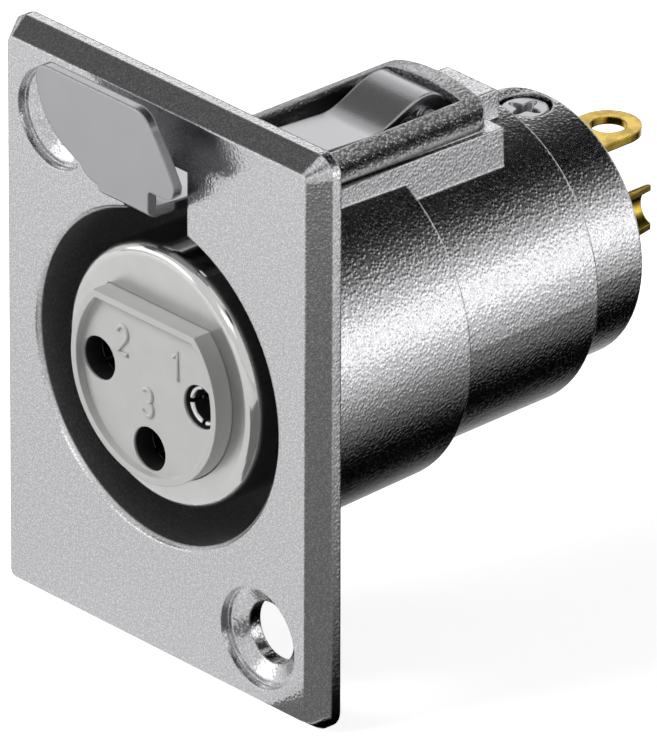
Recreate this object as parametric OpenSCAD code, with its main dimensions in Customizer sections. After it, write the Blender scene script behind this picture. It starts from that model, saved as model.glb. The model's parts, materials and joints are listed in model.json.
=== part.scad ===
// Female three-contact audio connector for a panel, with a latch lever.
// Origin: centre of the plug opening on the front face of the flange.
// +X right and +Z up, seen from the front. +Y runs back along the barrel.

/* [Flange] */
// Width of the flat front face
face_w = 23.2; // [20:0.1:30]
// Height of the flat front face
face_h = 31.9; // [30:0.1:40]
// How far the bevel widens the face on each side
bevel_out = 0.85; // [0.4:0.05:1.4]
// Depth of the bevel
bevel_deep = 1.2; // [0.6:0.1:1.6]
// Thickness of the straight rim behind the bevel
rim_t = 0.6; // [0.4:0.1:1.5]
// Corner radius of the front face
face_corner_r = 0.4; // [0.2:0.1:1]
// Corner radius of the rim
rim_corner_r = 1.2; // [0.8:0.1:2]

/* [Mounting holes] */
// Distance of each hole from the centre line, sideways
hole_x = 7.95; // [7.5:0.05:9]
// Distance of each hole from the centre line, upwards or downwards
hole_z = 12.35; // [12:0.05:14]
// Radius of the screw hole
hole_r = 1.75; // [1.2:0.05:2]
// Radius of the recess for the screw head
recess_r = 2.87; // [2.6:0.05:3]
// Depth of the straight wall of the recess
recess_deep = 0.5; // [0.2:0.05:0.8]
// Depth of the cone under the recess
cone_deep = 0.5; // [0.2:0.05:0.7]
// Flat step between the recess wall and the cone
recess_step = 0.3; // [0.1:0.05:0.5]

/* [Barrel] */
// Radius of the bore that takes the plug
bore_r = 9.35; // [9.2:0.05:9.8]
// Chamfer round the mouth of the bore
mouth_chamfer = 0.25; // [0.1:0.01:0.4]
// Depth of the plug bore from the front face
bore_deep = 12.5; // [11:0.1:13.5]
// Wall round the plug bore, at its inner end
front_wall = 0.5; // [0.4:0.05:1]
// Length of the floor between the plug bore and the first step
step_t = 1.1; // [0.6:0.1:2]
// Radius of the seat bore for the inner block
seat_r = 8.1; // [7.9:0.05:8.3]
// Wall round the seat bore
middle_wall = 0.8; // [0.6:0.05:1]
// Length of the middle section
middle_len = 10.2; // [8:0.1:12]
// Radius of the rear bore
rear_bore_r = 6.75; // [6.5:0.05:7]
// Wall round the rear bore
rear_wall = 0.8; // [0.5:0.05:1]
// Length of the rear section
rear_len = 4.4; // [4.2:0.1:5.5]
// Floor between the seat bore and the rear bore
rear_floor_t = 1.0; // [0.6:0.1:1.5]
// Narrowing of the front section for each millimetre of length
front_draft = 0.028; // [0.01:0.001:0.04]
// Narrowing of the other sections for each millimetre of length
rear_draft = 0.012; // [0:0.001:0.02]
// Rounding of the step edges
step_round = 0.15; // [0.05:0.05:0.25]

/* [Latch housing] */
// Half width of the latch channel
channel_hw = 2.9; // [2.7:0.05:3.1]
// Wall of the housing beside the channel, at its foot
housing_wall = 1.55; // [1.2:0.05:1.8]
// Height of the housing's crown above the barrel axis
housing_top = 11.45; // [11.2:0.05:11.8]
// Height of the crown's curve, from its foot to its top
crown_h = 1.55; // [1.2:0.05:1.8]
// Radius of the housing's two rear corners, seen from above
housing_corner_r = 1.4; // [0.8:0.1:2]
// Place of the rear end of the channel
channel_end = 19.15; // [19.1:0.05:19.3]
// Wall behind the channel
housing_end_wall = 1.05; // [0.8:0.05:1.6]
// Height of the channel floor behind the plug bore
channel_floor = 9.0; // [8.9:0.05:9.1]
// Half width of the ledge under the housing
ledge_hw = 4.75; // [4.6:0.05:5.2]
// Height of the ledge at the flange
ledge_top = 10.2; // [9.9:0.05:10.4]
// Drop of the ledge for each millimetre of length
ledge_drop = 0.024; // [0:0.001:0.03]
// How far the ledge runs on behind the housing
ledge_over = 0.35; // [0.1:0.05:0.8]
// Half width of the block behind the housing
block_hw = 1.9; // [1.5:0.05:2.2]
// Height of the block behind the housing
block_top = 10.25; // [9.8:0.05:10.4]
// How far the block reaches behind the housing
block_over = 2.65; // [1.5:0.05:3]
// Height of the latch slot in the flange
slot_top = 12.95; // [12.9:0.05:13.1]
// Half width of the latch slot in the flange
slot_hw = 2.5; // [2.2:0.05:2.7]

/* [Latch lever] */
// Thickness of the lever's strip
strip_t = 0.6; // [0.5:0.05:0.7]
// Half width of the lever's arm
arm_hw = 1.95; // [1.7:0.05:2.1]
// Height of the middle of the arm, at the plate
arm_front_z = 11.0; // [10.9:0.05:11.1]
// Height of the middle of the arm, at its lowest place
arm_low_z = 10.1; // [10:0.05:10.3]
// Lowest place of the arm, behind the face
arm_low_y = 13.6; // [13:0.1:14.5]
// Distance of the push plate's front in front of the face
plate_stand = 2.3; // [1.8:0.05:2.5]
// Top edge of the push plate
plate_top = 16.85; // [16:0.05:17]
// Left edge of the push plate, from the centre line
plate_left = 6.8; // [6.3:0.05:7]
// Right edge of the push plate, from the centre line
plate_right = 4.0; // [3.7:0.05:4.3]
// Underside of the push plate's right wing
plate_foot = 12.4; // [12.2:0.05:12.8]
// Radius of the bend between the plate and the arm
bend_r = 0.7; // [0.5:0.05:0.8]
// Radius of the eye that hooks over the pin
eye_r = 1.38; // [1.3:0.01:1.4]
// Place of the catch behind the face
catch_y = 6.6; // [5:0.1:8]
// Length of the catch along the barrel
catch_len = 1.6; // [1:0.1:2.5]
// Half width of the catch
catch_hw = 1.5; // [1:0.05:1.7]
// How far the catch reaches below the bore's wall
catch_reach = 0.65; // [0.4:0.05:0.8]

/* [Latch pin] */
// Radius of the pin that the lever turns on
pin_r = 0.5; // [0.4:0.01:0.52]
// Height of the pin
pin_z = 10.25; // [10.2:0.01:10.3]
// Distance of the pin in front of the channel's rear end
pin_back = 1.5; // [1.45:0.05:1.6]
// How deep each end of the pin sits in the housing wall
pin_hold = 0.35; // [0.2:0.05:0.4]

/* [Sleeve and insulators] */
// Outer radius of the sleeve
sleeve_r = 7.45; // [7.3:0.05:7.6]
// Wall of the sleeve
sleeve_wall = 0.75; // [0.6:0.05:0.9]
// Thickness of the sleeve's front
sleeve_front_t = 1.0; // [0.7:0.05:1.3]
// Distance of the sleeve's front behind the face
sleeve_y = 0.25; // [0:0.05:0.6]
// Rounding of the sleeve's lip
lip_round = 0.75; // [0.4:0.05:0.8]
// Length of the sleeve's foot in the seat bore
sleeve_foot_len = 1.6; // [1:0.1:2.5]
// Radius of the insulator's nose
nose_r = 5.7; // [5.5:0.05:5.9]
// Height of the flat on the nose
nose_flat = 4.1; // [3.9:0.05:4.4]
// How far the nose stands in front of the face
nose_stand = 0.6; // [0.3:0.05:1]
// Width of the nose's raised rim
nose_rim = 0.4; // [0.3:0.05:0.6]
// Depth of the floor inside the nose's rim
nose_deep = 0.45; // [0.2:0.05:0.7]
// Length of the front insulator behind the sleeve's foot
block_len = 4.5; // [4:0.1:5]
// Distance of the rear insulator's end inside the barrel
rear_inset = 0.15; // [0.1:0.05:0.2]

/* [Contacts] */
// Distance of contacts 1 and 2 from the centre line
contact_x = 3.95; // [3.8:0.05:4]
// Height of contacts 1 and 2
contact_z = -0.1; // [-0.3:0.05:0.2]
// Height of contact 3
contact3_z = -4.0; // [-4.1:0.05:-3.8]
// Radius of the contact hole in the nose
contact_hole_r = 1.25; // [1.1:0.01:1.3]
// Radius of the socket's bore
socket_bore_r = 1.22; // [1.1:0.01:1.24]
// Wall of the socket
socket_wall = 0.33; // [0.25:0.01:0.4]
// Distance of the socket's mouth behind the nose floor
socket_inset = 1.0; // [0.6:0.1:2]
// Depth of the socket's bore
socket_deep = 8.5; // [7:0.1:10]
// Width of the slots in the socket
socket_slot = 0.35; // [0.2:0.05:0.5]
// Radius of the contact's collar
collar_r = 1.85; // [1.75:0.05:1.9]
// Length of the contact's collar
collar_len = 1.2; // [0.8:0.1:1.5]
// Radius of the contact's stem
stem_r = 1.0; // [0.8:0.05:1.1]
// Outer radius of the solder cup
cup_r = 1.35; // [1.2:0.05:1.4]
// Wall of the solder cup
cup_wall = 0.35; // [0.25:0.05:0.4]
// Length of the solder cup
cup_len = 4.2; // [2.5:0.1:5]
// How far the cups of contacts 1 and 2 are raised
cup_rise = 0.9; // [0:0.05:0.95]

/* [Ground lug and screw] */
// Half width of the ground lug
lug_hw = 1.8; // [1.6:0.05:2]
// Thickness of the ground lug
lug_t = 0.45; // [0.3:0.05:0.6]
// Height of the ground lug's underside
lug_z = 3.8; // [3.7:0.05:4.2]
// Radius of the hole in the ground lug
lug_hole_r = 1.0; // [0.7:0.05:1.1]
// Distance of the lug's hole behind the barrel
lug_reach = 4.45; // [3:0.05:6]
// Radius of the round hole over the screw
pocket_r = 1.5; // [1.45:0.05:1.6]
// Wall between the round hole and the barrel's rear end
pocket_wall = 0.2; // [0.2:0.05:0.5]
// Radius of the screw's head
screw_head_r = 1.35; // [1.2:0.05:1.35]
// Height of the screw's head
screw_head_t = 1.0; // [0.8:0.05:1.1]
// Depth of the head's seat below the surface of the rear section
screw_sink = 1.6; // [1.5:0.05:1.65]
// Radius of the screw's shank
screw_r = 0.95; // [0.8:0.05:0.97]
// Length of the screw's shank
screw_len = 3.2; // [2.5:0.1:3.5]
// Width of the cross recess
cross_w = 0.5; // [0.3:0.05:0.6]

/* [Hidden] */

$fn = 96;
// Overrun of a cut past the face that it leaves
over = 0.5;
// Clearance between pieces that are held together
seat_gap = 0.05;
// Radial clearance of the lever on its pin
turn_gap = 0.04;

flange_t = bevel_deep + rim_t;
front_end = bore_deep + step_t;
middle_end = front_end + middle_len;
barrel_end = middle_end + rear_len;
front_r = bore_r + front_wall;
middle_r = seat_r + middle_wall;
rear_r = rear_bore_r + rear_wall;
rear_bore_start = middle_end - rear_floor_t;
housing_hw = channel_hw + housing_wall;
housing_end = channel_end + housing_end_wall;
pin_y = channel_end - pin_back;
crest_z = pin_z + eye_r - strip_t / 2;
sleeve_inner_r = sleeve_r - sleeve_wall;
sleeve_end = bore_deep + sleeve_foot_len;
block_end = sleeve_end + block_len;
nose_floor = nose_deep - nose_stand;
socket_start = nose_floor + socket_inset;
socket_r = socket_bore_r + socket_wall;
collar_start = block_end - collar_len;
insulator_end = barrel_end - rear_inset;
screw_y = barrel_end - pocket_wall - pocket_r;
screw_seat = rear_r - screw_sink;
lug_start = rear_bore_start + seat_gap * 4;
lug_hole_y = barrel_end + lug_reach;

// Points of an arc, from angle a0 to a1, with radii rx and ry
function arc(cx, cy, rx, ry, a0, a1, n) =
    [for (i = [0:n]) let(a = a0 + (a1 - a0) * i / n) [cx + rx * cos(a), cy + ry * sin(a)]];

// Points of a smooth curve from p to r, drawn towards q
function curve(p, q, r, n) =
    [for (i = [0:n]) let(t = i / n) (1 - t) * (1 - t) * p + 2 * t * (1 - t) * q + t * t * r];

// Shapes drawn as x and z, and made solid from y0 to y1
module along(y0, y1) {
    translate([0, y1, 0])
        rotate([90, 0, 0])
            linear_extrude(y1 - y0)
                children();
}

// Shapes drawn as radius and y, and turned about the barrel axis
module turned() {
    rotate([-90, 0, 0])
        rotate_extrude()
            children();
}

// Shapes drawn as y and z, and made solid from -hw to hw across
module across(hw) {
    translate([-hw, 0, 0])
        rotate([90, 0, 90])
            linear_extrude(2 * hw)
                children();
}

// Rod of radius r along y at x, z
module rod(x, z, r, y0, y1) {
    translate([x, y0, z])
        rotate([-90, 0, 0])
            cylinder(h = y1 - y0, r = r);
}

// Flange blank, with its bevelled front
module flange_blank() {
    face_x = face_w / 2 - face_corner_r;
    face_y = face_h / 2 - face_corner_r;
    rim_x = face_w / 2 + bevel_out - rim_corner_r;
    rim_y = face_h / 2 + bevel_out - rim_corner_r;
    hull() {
        for (sx = [-1, 1], sz = [-1, 1]) {
            translate([sx * face_x, 0, sz * face_y])
                rotate([-90, 0, 0])
                    cylinder(h = 0.01, r = face_corner_r, $fn = 32);
            translate([sx * rim_x, bevel_deep, sz * rim_y])
                rotate([-90, 0, 0])
                    cylinder(h = rim_t, r = rim_corner_r, $fn = 32);
        }
    }
}

// Both recessed screw holes of the flange
module mounting_holes() {
    for (s = [-1, 1])
        translate([s * hole_x, 0, -s * hole_z])
            turned()
                polygon([[0, -over], [recess_r, -over], [recess_r, recess_deep],
                         [recess_r - recess_step, recess_deep],
                         [hole_r, recess_deep + cone_deep],
                         [hole_r, flange_t + over], [0, flange_t + over]]);
}

// Outer form of the barrel: three drafted sections
module barrel_blank() {
    front_start_r = front_r + front_draft * (front_end - bevel_deep);
    middle_end_r = middle_r - rear_draft * middle_len;
    rear_end_r = rear_r - rear_draft * rear_len;
    turned()
        polygon(concat(
            [[0, bevel_deep], [front_start_r, bevel_deep]],
            arc(front_r - step_round, front_end - step_round, step_round, step_round, 0, 90, 4),
            [[middle_r, front_end]],
            arc(middle_end_r - step_round, middle_end - step_round, step_round, step_round, 0, 90, 4),
            [[rear_r, middle_end]],
            arc(rear_end_r - step_round, barrel_end - step_round, step_round, step_round, 0, 90, 4),
            [[0, barrel_end]]));
}

// Space inside the barrel: plug bore, seat bore and rear bore
module barrel_space() {
    turned()
        polygon([[0, -over], [bore_r + mouth_chamfer + over, -over],
                 [bore_r, mouth_chamfer], [bore_r, bore_deep],
                 [seat_r, bore_deep], [seat_r, rear_bore_start],
                 [rear_bore_r, rear_bore_start], [rear_bore_r, barrel_end + over],
                 [0, barrel_end + over]]);
}

// Cross section of the latch housing, with its crowned top
module housing_section() {
    foot = housing_top - crown_h;
    polygon(concat(
        [[-housing_hw, channel_floor - over], [housing_hw, channel_floor - over]],
        arc(0, foot, housing_hw, crown_h, 0, 180, 48)));
}

// Outline of the latch housing, seen from above
module housing_plan() {
    corner_x = housing_hw - housing_corner_r;
    corner_y = housing_end - housing_corner_r;
    polygon(concat(
        [[-housing_hw - over, bevel_deep], [housing_hw + over, bevel_deep],
         [housing_hw + over, corner_y]],
        arc(corner_x, corner_y, housing_corner_r, housing_corner_r, 0, 90, 12),
        arc(-corner_x, corner_y, housing_corner_r, housing_corner_r, 90, 180, 12),
        [[-housing_hw - over, corner_y]]));
}

// Raised housing with a blunt rear end, the ledge that it stands on and the block behind it
module housing_blank() {
    intersection() {
        along(bevel_deep, housing_end)
            housing_section();
        linear_extrude(2 * housing_top)
            housing_plan();
    }
    ledge_end = housing_end + ledge_over;
    across(ledge_hw)
        polygon([[bevel_deep, 0], [bevel_deep, ledge_top],
                 [ledge_end, ledge_top - ledge_drop * ledge_end], [ledge_end, 0]]);
    block_end_y = housing_end + block_over;
    across(block_hw)
        polygon(concat(
            [[channel_end + over, 0], [channel_end + over, block_top]],
            arc(block_end_y - 2 * step_round, block_top - 2 * step_round,
                2 * step_round, 2 * step_round, 90, 0, 4),
            [[block_end_y, 0]]));
}

// Channel of the latch lever, open to the plug bore and to the front
module latch_channel() {
    along(bevel_deep, bore_deep)
        translate([-channel_hw, 0])
            square([2 * channel_hw, housing_top + over]);
    translate([-channel_hw, bore_deep - over, channel_floor])
        cube([2 * channel_hw, channel_end - bore_deep + over, housing_top]);
    along(-over, bevel_deep + rim_t + over)
        translate([-slot_hw, 0])
            square([2 * slot_hw, slot_top]);
}

// Hole for the latch pin: through on one side and blind on the other
module pin_hole() {
    hold = channel_hw + pin_hold + seat_gap;
    translate([-housing_hw - over, pin_y, pin_z])
        rotate([0, 90, 0])
            cylinder(h = housing_hw + over + hold, r = pin_r + turn_gap / 4, $fn = 48);
}

// Round hole for the head of the retaining screw
module screw_pocket() {
    translate([0, screw_y, 0])
        cylinder(h = 2 * rear_r, r = pocket_r, $fn = 64);
}

// Die-cast flange and barrel in one piece
module shell() {
    color([0.62, 0.62, 0.63])
        difference() {
            union() {
                flange_blank();
                barrel_blank();
                housing_blank();
            }
            barrel_space();
            mounting_holes();
            latch_channel();
            pin_hole();
            screw_pocket();
        }
}

// D-shaped outline: a circle with its top cut flat
module d_outline(r, flat) {
    intersection() {
        circle(r);
        translate([-r, -r])
            square([2 * r, r + flat]);
    }
}

// Bright sleeve that the plug's shell slides over
module mating_sleeve() {
    foot_r = seat_r - seat_gap;
    color([0.80, 0.80, 0.81])
        difference() {
            turned()
                polygon(concat(
                    [[0, sleeve_y]],
                    arc(sleeve_r - lip_round, sleeve_y + lip_round, lip_round, lip_round, -90, 0, 10),
                    [[sleeve_r, bore_deep], [foot_r, bore_deep], [foot_r, sleeve_end],
                     [sleeve_inner_r, sleeve_end],
                     [sleeve_inner_r, sleeve_y + sleeve_front_t],
                     [0, sleeve_y + sleeve_front_t]]));
            along(sleeve_y - over, sleeve_y + sleeve_front_t + over)
                d_outline(nose_r + seat_gap, nose_flat + seat_gap);
        }
}

// Place of each contact, as x and z
function contact_place(i) =
    i == 3 ? [0, contact3_z] : [i == 1 ? contact_x : -contact_x, contact_z];

// Grey moulded block with the D-shaped nose
module front_insulator() {
    body_start = sleeve_y + sleeve_front_t + seat_gap;
    body_r = sleeve_inner_r - seat_gap;
    block_r = seat_r - seat_gap;
    color([0.66, 0.66, 0.66])
        difference() {
            union() {
                along(-nose_stand, body_start + over)
                    d_outline(nose_r, nose_flat);
                rod(0, 0, body_r, body_start, sleeve_end + over);
                rod(0, 0, block_r, sleeve_end + seat_gap, block_end);
            }
            along(-nose_stand - over, nose_floor)
                d_outline(nose_r - nose_rim, nose_flat - nose_rim);
            for (i = [1:3]) {
                p = contact_place(i);
                rod(p[0], p[1], contact_hole_r, nose_floor - over, socket_start);
                rod(p[0], p[1], socket_r + seat_gap, socket_start - seat_gap, block_end);
                rod(p[0], p[1], collar_r + seat_gap, collar_start - seat_gap, block_end + over);
            }
        }
}

// Black moulded block that closes the barrel's rear
module rear_insulator() {
    flange_r = seat_r - seat_gap;
    plug_r = rear_bore_r - seat_gap;
    start = block_end + seat_gap;
    color([0.12, 0.12, 0.12])
        difference() {
            union() {
                rod(0, 0, flange_r, start, rear_bore_start - seat_gap);
                rod(0, 0, plug_r, rear_bore_start - over, insulator_end);
            }
            for (i = [1:3]) {
                p = contact_place(i);
                rod(p[0], p[1], stem_r + seat_gap, start - over, insulator_end + over);
            }
            translate([-lug_hw - seat_gap, lug_start - seat_gap, lug_z - seat_gap])
                cube([2 * (lug_hw + seat_gap), barrel_end, lug_t + 2 * seat_gap]);
            translate([0, screw_y, screw_seat - seat_gap])
                cylinder(h = rear_r, r = screw_head_r + seat_gap, $fn = 64);
            translate([0, screw_y, screw_seat - screw_len - seat_gap])
                cylinder(h = rear_r, r = screw_r + seat_gap, $fn = 48);
        }
}

// Cut that opens the side of a solder cup, drawn for a cup that opens upwards
module cup_scoop(y0) {
    y1 = y0 + 0.3 * cup_len;
    across(cup_r + over)
        polygon(concat(
            [[y0 + cup_len, 2 * cup_r], [y0, 2 * cup_r]],
            arc(y1, 1.1 * cup_r, y1 - y0, cup_r, 180, 270, 10),
            [[y0 + cup_len, -0.25 * cup_r]]));
}

// Slotted socket with a collar, a stem and a solder cup that opens towards angle open
module contact(i, rise, open) {
    p = contact_place(i);
    cup_start = insulator_end + seat_gap;
    cup_end = cup_start + cup_len;
    cup_z = p[1] + rise;
    color([0.85, 0.62, 0.20])
        difference() {
            union() {
                rod(p[0], p[1], socket_r, socket_start, collar_start + over);
                rod(p[0], p[1], collar_r, collar_start, collar_start + collar_len);
                rod(p[0], p[1], stem_r, collar_start, cup_start + 2 * cup_wall);
                rod(p[0], cup_z, cup_r, cup_start, cup_end);
            }
            rod(p[0], p[1], socket_bore_r, socket_start - over, socket_start + socket_deep);
            for (a = [45, 135])
                translate([p[0], socket_start - over, p[1]])
                    rotate([0, a, 0])
                        translate([-socket_slot / 2, 0, -socket_r - over])
                            cube([socket_slot, 0.7 * socket_deep, 2 * (socket_r + over)]);
            rod(p[0], cup_z, cup_r - cup_wall, cup_start + 3 * cup_wall, cup_end + over);
            translate([p[0], 0, cup_z])
                rotate([0, open, 0])
                    cup_scoop(cup_start + 0.15 * cup_len);
        }
}

// Contact on the right, seen from the front
module contact_1() {
    contact(1, cup_rise, 90);
}

// Contact on the left, seen from the front
module contact_2() {
    contact(2, cup_rise, -90);
}

// Contact at the bottom
module contact_3() {
    contact(3, 0, 180);
}

// Flat ground lug with a round end and a hole for the wire
module ground_lug() {
    color([0.85, 0.62, 0.20])
        translate([0, 0, lug_z])
            difference() {
                linear_extrude(lug_t)
                    union() {
                        translate([-lug_hw, lug_start])
                            square([2 * lug_hw, lug_hole_y - lug_start]);
                        translate([0, lug_hole_y])
                            circle(lug_hw);
                    }
                translate([0, lug_hole_y, -over])
                    cylinder(h = lug_t + 2 * over, r = lug_hole_r, $fn = 64);
                translate([0, screw_y, -over])
                    cylinder(h = lug_t + 2 * over, r = screw_r + seat_gap, $fn = 48);
            }
}

// Cross-recess screw that locks the inner block
module retaining_screw() {
    top = screw_seat + screw_head_t;
    color([0.70, 0.70, 0.71])
        translate([0, screw_y, 0])
            difference() {
                union() {
                    translate([0, 0, screw_seat])
                        cylinder(h = screw_head_t, r = screw_head_r, $fn = 64);
                    translate([0, 0, screw_seat - screw_len])
                        cylinder(h = screw_len + over, r = screw_r, $fn = 48);
                }
                for (a = [30, 120])
                    translate([0, 0, top - 0.6 * screw_head_t])
                        rotate([0, 0, a])
                            translate([-0.7 * screw_head_r, -cross_w / 2, 0])
                                cube([1.4 * screw_head_r, cross_w, screw_head_t]);
            }
}

// Outline of the push plate, drawn as x and z
module plate_outline() {
    bend_z = arm_front_z - strip_t / 2 + bend_r;
    left = -plate_left;
    right = plate_right;
    top = plate_top;
    foot = plate_foot;
    wing_h = top - foot;
    lobe = [-arm_hw - 1.35, bend_z + 0.75];
    slope_start = [right - 1.75, top - 0.213483 * wing_h];
    slope_end = [right - 0.05, top - 0.808989 * wing_h];
    polygon(concat(
        curve([-arm_hw, bend_z], [-arm_hw - 1.0, bend_z + 0.05], lobe, 6),
        curve(lobe, [left + 0.35, bend_z + 1.7], [left, top - 0.75], 12),
        curve([left, top - 0.75], [left - 0.05, top], [left + 1.0, top], 6),
        curve([right - 3.3, top], [right - 2.3, top], slope_start, 8),
        curve(slope_start, [right - 0.75, top - 0.516854 * wing_h], slope_end, 8),
        curve(slope_end, [right + 0.05, foot], [right - 0.8, foot], 6),
        [[arm_hw + 0.15, foot], [arm_hw, foot - 0.15], [arm_hw, bend_z]]));
}

// Height of the middle of the arm at y: down to its lowest place, then up to the crest
function arm_mid(y) =
    let(front = bend_r - plate_stand,
        down = min(1, (y - front) / (arm_low_y - front)),
        up = max(0, (y - arm_low_y) / (pin_y - arm_low_y)))
    arm_front_z + (arm_low_z - arm_front_z) * down
        + (crest_z - arm_low_z) * (1 - cos(180 * up)) / 2;

// Side view of the arm: the bend under the plate, the slope and the rise to the crest
module arm_outline() {
    half = strip_t / 2;
    steps = 20;
    bend_in = bend_r - strip_t;
    front = bend_r - plate_stand;
    bend_z = arm_front_z - half + bend_r;
    rise = [for (i = [0:steps]) arm_low_y + (pin_y - arm_low_y) * i / steps];
    top = [for (i = [0:steps]) [rise[i], arm_mid(rise[i]) + half]];
    bottom = [for (i = [steps:-1:0]) [rise[i], arm_mid(rise[i]) - half]];
    polygon(concat(
        [[-plate_stand + strip_t, bend_z]],
        arc(front, bend_z, bend_in, bend_in, 180, 270, 5),
        top, bottom,
        arc(front, bend_z, bend_r, bend_r, 270, 180, 8)));
}

// Eye at the arm's rear end, open towards the front, that hooks over the pin
module eye() {
    grip_r = pin_r + turn_gap + 0.3;
    width = 2 * arm_hw;
    translate([-arm_hw, pin_y, pin_z])
        rotate([0, 90, 0])
            difference() {
                union() {
                    cylinder(h = width, r = grip_r, $fn = 64);
                    intersection() {
                        cylinder(h = width, r = eye_r);
                        translate([-2 * eye_r, -turn_gap, -over])
                            cube([4 * eye_r, 2 * eye_r, width + 2 * over]);
                    }
                }
                translate([0.2 * grip_r, -2 * eye_r, -over])
                    cube([2 * eye_r, 2 * eye_r, width + 2 * over]);
                translate([grip_r, -2 * eye_r, -over])
                    cube([2 * eye_r, 4 * eye_r, width + 2 * over]);
            }
}

// Folded latch lever: push plate, arm, catch and eye
module latch_lever() {
    catch_low = bore_r - catch_reach;
    catch_top = arm_mid(catch_y);
    color([0.64, 0.64, 0.65])
        difference() {
            union() {
                along(-plate_stand, strip_t - plate_stand)
                    plate_outline();
                across(arm_hw)
                    arm_outline();
                eye();
                across(catch_hw)
                    polygon([[catch_y - catch_len / 2, catch_top],
                             [catch_y - catch_len / 2, catch_low + 0.8],
                             [catch_y + catch_len / 4, catch_low],
                             [catch_y + catch_len / 2, catch_low],
                             [catch_y + catch_len / 2, catch_top]]);
            }
            translate([-arm_hw - over, pin_y, pin_z])
                rotate([0, 90, 0])
                    cylinder(h = 2 * (arm_hw + over), r = pin_r + turn_gap, $fn = 64);
        }
}

// Steel pin that the lever turns on
module latch_pin() {
    hw = channel_hw + pin_hold;
    color([0.70, 0.70, 0.71])
        translate([-hw, pin_y, pin_z])
            rotate([0, 90, 0])
                cylinder(h = 2 * hw, r = pin_r, $fn = 48);
}

shell();
mating_sleeve();
front_insulator();
rear_insulator();
contact_1();
contact_2();
contact_3();
ground_lug();
retaining_screw();
latch_lever();
latch_pin();
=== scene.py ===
"""Looks of a female three-contact panel connector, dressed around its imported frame."""
import json
import logging
import math
from dataclasses import dataclass
from enum import Enum
from typing import Any, Optional, Sequence, Union

import bmesh
import bpy
from mathutils import Matrix, Vector

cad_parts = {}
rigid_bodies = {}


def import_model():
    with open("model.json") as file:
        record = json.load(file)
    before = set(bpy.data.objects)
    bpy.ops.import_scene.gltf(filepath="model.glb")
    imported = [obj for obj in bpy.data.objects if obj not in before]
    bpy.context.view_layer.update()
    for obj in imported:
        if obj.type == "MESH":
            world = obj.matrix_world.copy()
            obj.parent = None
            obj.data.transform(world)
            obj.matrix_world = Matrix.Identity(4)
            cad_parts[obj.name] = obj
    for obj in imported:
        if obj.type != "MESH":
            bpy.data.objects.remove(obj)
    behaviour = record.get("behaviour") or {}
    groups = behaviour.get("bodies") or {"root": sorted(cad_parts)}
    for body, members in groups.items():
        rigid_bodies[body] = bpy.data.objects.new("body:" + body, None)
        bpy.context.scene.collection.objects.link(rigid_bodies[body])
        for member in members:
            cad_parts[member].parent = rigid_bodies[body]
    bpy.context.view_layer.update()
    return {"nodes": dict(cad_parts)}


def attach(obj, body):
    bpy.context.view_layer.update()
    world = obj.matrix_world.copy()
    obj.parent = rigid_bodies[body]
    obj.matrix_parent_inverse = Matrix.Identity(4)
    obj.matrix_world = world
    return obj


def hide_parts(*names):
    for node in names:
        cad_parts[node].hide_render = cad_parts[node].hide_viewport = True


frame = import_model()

MM = 0.001
LOG = logging.getLogger("connector")
MIDDLE_MM = (0.0, 10.0, 0.0)
WHITE = (1.0, 1.0, 1.0, 1.0)
BEVEL_SAMPLES = 6
Point = tuple[float, float, float]
Pair = tuple[float, float]
Stops = Sequence[Pair]
Value = Union["Wire", bpy.types.NodeSocket, float, tuple]


class Body(Enum):
    """The bodies of the frame that pieces ride on."""

    HOUSING = "housing"
    LATCH = "latch"


class Slot(Enum):
    """The finish slots of the record."""

    SATIN_NICKEL = "satin_nickel"
    BRIGHT_NICKEL = "bright_nickel"
    GREY_PLASTIC = "grey_plastic"
    BLACK_PLASTIC = "black_plastic"
    GOLD_PLATE = "gold_plate"
    SCREW_STEEL = "screw_steel"
    LEVER_STEEL = "lever_steel"


class Wire:
    """A shader output that does sums with the usual operators."""

    def __init__(self, graph: "Graph", socket: bpy.types.NodeSocket) -> None:
        """Keep the graph and the socket.

        Args:
            graph: The node graph that the socket belongs to.
            socket: The output socket.
        """
        self.graph = graph
        self.socket = socket

    def _sum(self, operation: str, *values: Value) -> "Wire":
        """Add one Math node.

        Args:
            operation: The Math node's operation.
            values: Its inputs, in order.

        Returns:
            The node's output.
        """
        inputs = dict(enumerate(values))
        return self.graph.node("ShaderNodeMath", {"operation": operation}, inputs)

    def __add__(self, other: Value) -> "Wire":
        """Return self + other."""
        return self._sum("ADD", self, other)

    __radd__ = __add__

    def __sub__(self, other: Value) -> "Wire":
        """Return self - other."""
        return self._sum("SUBTRACT", self, other)

    def __rsub__(self, other: Value) -> "Wire":
        """Return other - self."""
        return self._sum("SUBTRACT", other, self)

    def __mul__(self, other: Value) -> "Wire":
        """Return self * other."""
        return self._sum("MULTIPLY", self, other)

    __rmul__ = __mul__

    def __abs__(self) -> "Wire":
        """Return self without its sign."""
        return self._sum("ABSOLUTE", self)

    def clamp(self) -> "Wire":
        """Return self limited to 0 to 1."""
        return self.graph.node("ShaderNodeClamp", {}, {0: self, 1: 0.0, 2: 1.0})


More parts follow.
